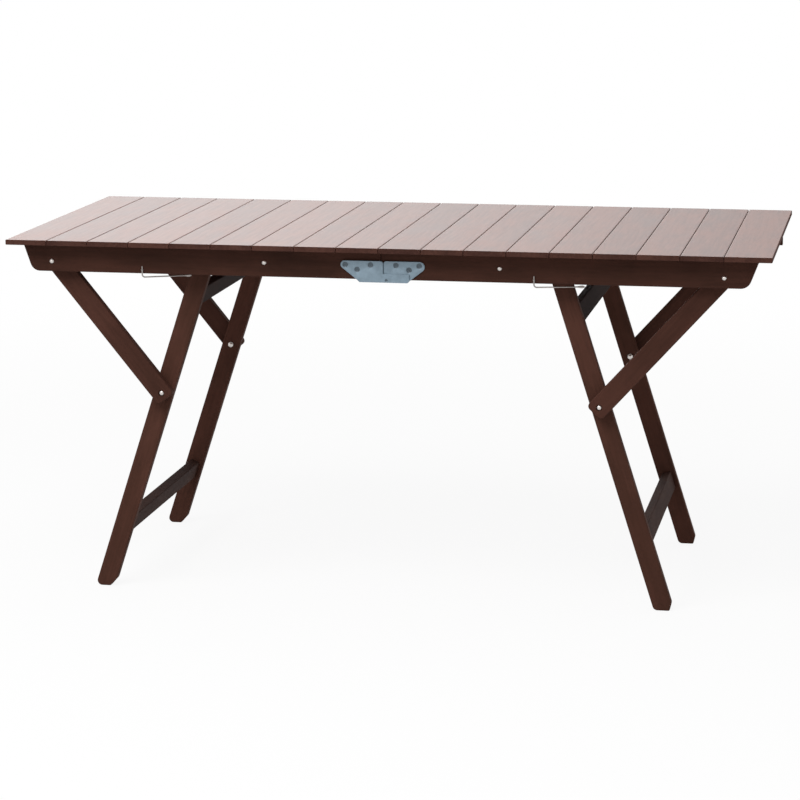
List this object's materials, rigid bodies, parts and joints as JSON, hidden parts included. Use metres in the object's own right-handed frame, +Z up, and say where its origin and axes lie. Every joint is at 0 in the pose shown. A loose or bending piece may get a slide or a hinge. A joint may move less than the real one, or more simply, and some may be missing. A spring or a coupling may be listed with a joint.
{
  "type": "folding table",
  "caption": "Slatted wooden folding table in two hinged halves, with braced leg frames that fold flat under the top and swinging wire catches.",
  "frame": {"origin": "on the floor under the centre of the open top", "axes": "+X along the table toward the half that carries the hinge pins' round leaves, +Y from front to back, +Z up"},
  "size_m": [1.5, 0.73, 0.712],
  "materials": {
    "dark_wood": "dark brown stain, satin varnish",
    "top_wood": "reddish brown stain under satin varnish",
    "plated_steel": "dull zinc plate",
    "bolt_steel": "bright plate",
    "wire_steel": "aged bright wire"
  },
  "bodies": {
    "left_top": {"left_slat_1": "top_wood", "left_slat_2": "top_wood", "left_slat_3": "top_wood", "left_slat_4": "top_wood", "left_slat_5": "top_wood", "left_slat_6": "top_wood", "left_slat_7": "top_wood", "left_slat_8": "top_wood", "left_slat_9": "top_wood", "left_front_apron": "dark_wood", "left_back_apron": "dark_wood", "left_leg_rest": "dark_wood", "left_centre_batten": "dark_wood", "left_guide_blocks": "dark_wood", "left_front_hinge_leaf": "plated_steel", "left_back_hinge_leaf": "plated_steel", "left_hinge_screws": "bolt_steel", "left_apron_bolts": "bolt_steel", "left_catch_staples": "wire_steel", "hinge_pins": "bolt_steel"},
    "left_braces": {"left_front_brace": "dark_wood", "left_back_brace": "dark_wood", "left_leg_bolts": "bolt_steel"},
    "left_legs": {"left_front_leg": "dark_wood", "left_back_leg": "dark_wood", "left_upper_stretcher": "dark_wood", "left_lower_stretcher": "dark_wood"},
    "left_front_catch_wire": {"left_front_catch": "wire_steel"},
    "left_back_catch_wire": {"left_back_catch": "wire_steel"},
    "right_top": {"right_slat_1": "top_wood", "right_slat_2": "top_wood", "right_slat_3": "top_wood", "right_slat_4": "top_wood", "right_slat_5": "top_wood", "right_slat_6": "top_wood", "right_slat_7": "top_wood", "right_slat_8": "top_wood", "right_slat_9": "top_wood", "right_front_apron": "dark_wood", "right_back_apron": "dark_wood", "right_leg_rest": "dark_wood", "right_centre_batten": "dark_wood", "right_guide_blocks": "dark_wood", "right_front_hinge_leaf": "plated_steel", "right_back_hinge_leaf": "plated_steel", "right_hinge_screws": "bolt_steel", "right_apron_bolts": "bolt_steel", "right_catch_staples": "wire_steel"},
    "right_braces": {"right_front_brace": "dark_wood", "right_back_brace": "dark_wood", "right_leg_bolts": "bolt_steel"},
    "right_legs": {"right_front_leg": "dark_wood", "right_back_leg": "dark_wood", "right_upper_stretcher": "dark_wood", "right_lower_stretcher": "dark_wood"},
    "right_front_catch_wire": {"right_front_catch": "wire_steel"},
    "right_back_catch_wire": {"right_back_catch": "wire_steel"}
  },
  "joints": [
    {"name": "centre_fold", "type": "hinge", "parent": "left_top", "child": "right_top", "pos_m": [0.0075, 0, 0.6465], "axis": [0, 1, 0], "range_deg": [0, 180]},
    {"name": "left_brace_swing", "type": "hinge", "parent": "left_top", "child": "left_braces", "pos_m": [-0.666, 0, 0.667], "axis": [0, 1, 0], "range_deg": [-51.01, 0]},
    {"name": "left_leg_swing", "type": "hinge", "parent": "left_braces", "child": "left_legs", "pos_m": [-0.453, 0, 0.404], "axis": [0, 1, 0], "range_deg": [0, 123.21]},
    {"name": "left_front_catch_swing", "type": "hinge", "parent": "left_top", "child": "left_front_catch_wire", "pos_m": [-0.481, -0.3349, 0.64], "axis": [0, 0, 1], "range_deg": [-25.45, 0]},
    {"name": "left_back_catch_swing", "type": "hinge", "parent": "left_top", "child": "left_back_catch_wire", "pos_m": [-0.303, 0.3349, 0.64], "axis": [0, 0, 1], "range_deg": [-14.01, 0]},
    {"name": "right_brace_swing", "type": "hinge", "parent": "right_top", "child": "right_braces", "pos_m": [0.658, 0, 0.667], "axis": [0, 1, 0], "range_deg": [0, 47.93]},
    {"name": "right_leg_swing", "type": "hinge", "parent": "right_braces", "child": "right_legs", "pos_m": [0.4205, 0, 0.404], "axis": [0, 1, 0], "range_deg": [-120.13, 0]},
    {"name": "right_front_catch_swing", "type": "hinge", "parent": "right_top", "child": "right_front_catch_wire", "pos_m": [0.295, -0.3349, 0.64], "axis": [0, 0, 1], "range_deg": [-14.01, 0]},
    {"name": "right_back_catch_swing", "type": "hinge", "parent": "right_top", "child": "right_back_catch_wire", "pos_m": [0.473, 0.3349, 0.64], "axis": [0, 0, 1], "range_deg": [-25.45, 0]}
  ],
  "couplings": [
    {"joint": "left_brace_swing", "follows": "centre_fold", "ratio": -0.28331},
    {"joint": "left_leg_swing", "follows": "centre_fold", "ratio": 0.68442},
    {"joint": "left_front_catch_swing", "follows": "centre_fold", "ratio": -0.14134},
    {"joint": "left_back_catch_swing", "follows": "centre_fold", "ratio": -0.077778},
    {"joint": "right_brace_swing", "follows": "centre_fold", "ratio": 0.2662},
    {"joint": "right_leg_swing", "follows": "centre_fold", "ratio": -0.66731},
    {"joint": "right_front_catch_swing", "follows": "centre_fold", "ratio": -0.077778},
    {"joint": "right_back_catch_swing", "follows": "centre_fold", "ratio": -0.14134}
  ]
}
